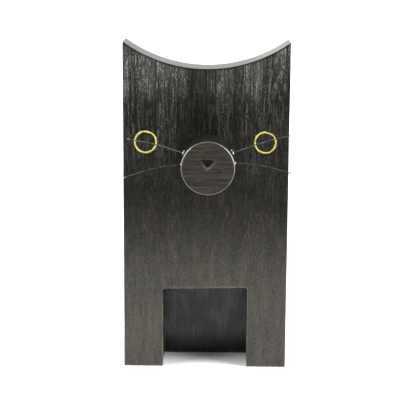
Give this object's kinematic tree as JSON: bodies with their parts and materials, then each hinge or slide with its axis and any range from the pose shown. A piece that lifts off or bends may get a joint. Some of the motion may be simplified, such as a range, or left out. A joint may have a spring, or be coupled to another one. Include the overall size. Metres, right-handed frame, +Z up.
{
  "type": "eyeglasses display stand",
  "caption": "Upright wooden cat-face stand whose round nose carries the bridge of a pair of glasses, with a scooped top, square leg cut-out and deep foot.",
  "frame": {"origin": "on the floor, centred under the front board, which is also the middle of the whole stand's depth", "axes": "+Z up, -Y out of the face of the cat, +X to the viewer's right when looking at the face"},
  "size_m": [0.0709, 0.057, 0.141],
  "materials": {
    "board_wood": "black-stained open grain, satin",
    "nose_wood": "dark brown stain over face grain, satin",
    "dowel_wood": "bare beech, unfinished",
    "whisker_filament": "smooth dark nylon bristle",
    "glue": "clear set glue, glossy",
    "eye_paint": "hand-painted lemon yellow acrylic"
  },
  "bodies": {
    "root": {"front_board": "board_wood", "rear_board": "board_wood", "nose": "nose_wood", "nose_dowel": "dowel_wood", "rear_board_dowels": "dowel_wood", "upper_left_whisker": "whisker_filament", "lower_left_whisker": "whisker_filament", "upper_right_whisker": "whisker_filament", "lower_right_whisker": "whisker_filament", "whisker_glue_beads": "glue", "left_eye_ring": "eye_paint", "right_eye_ring": "eye_paint"}
  },
  "joints": []
}
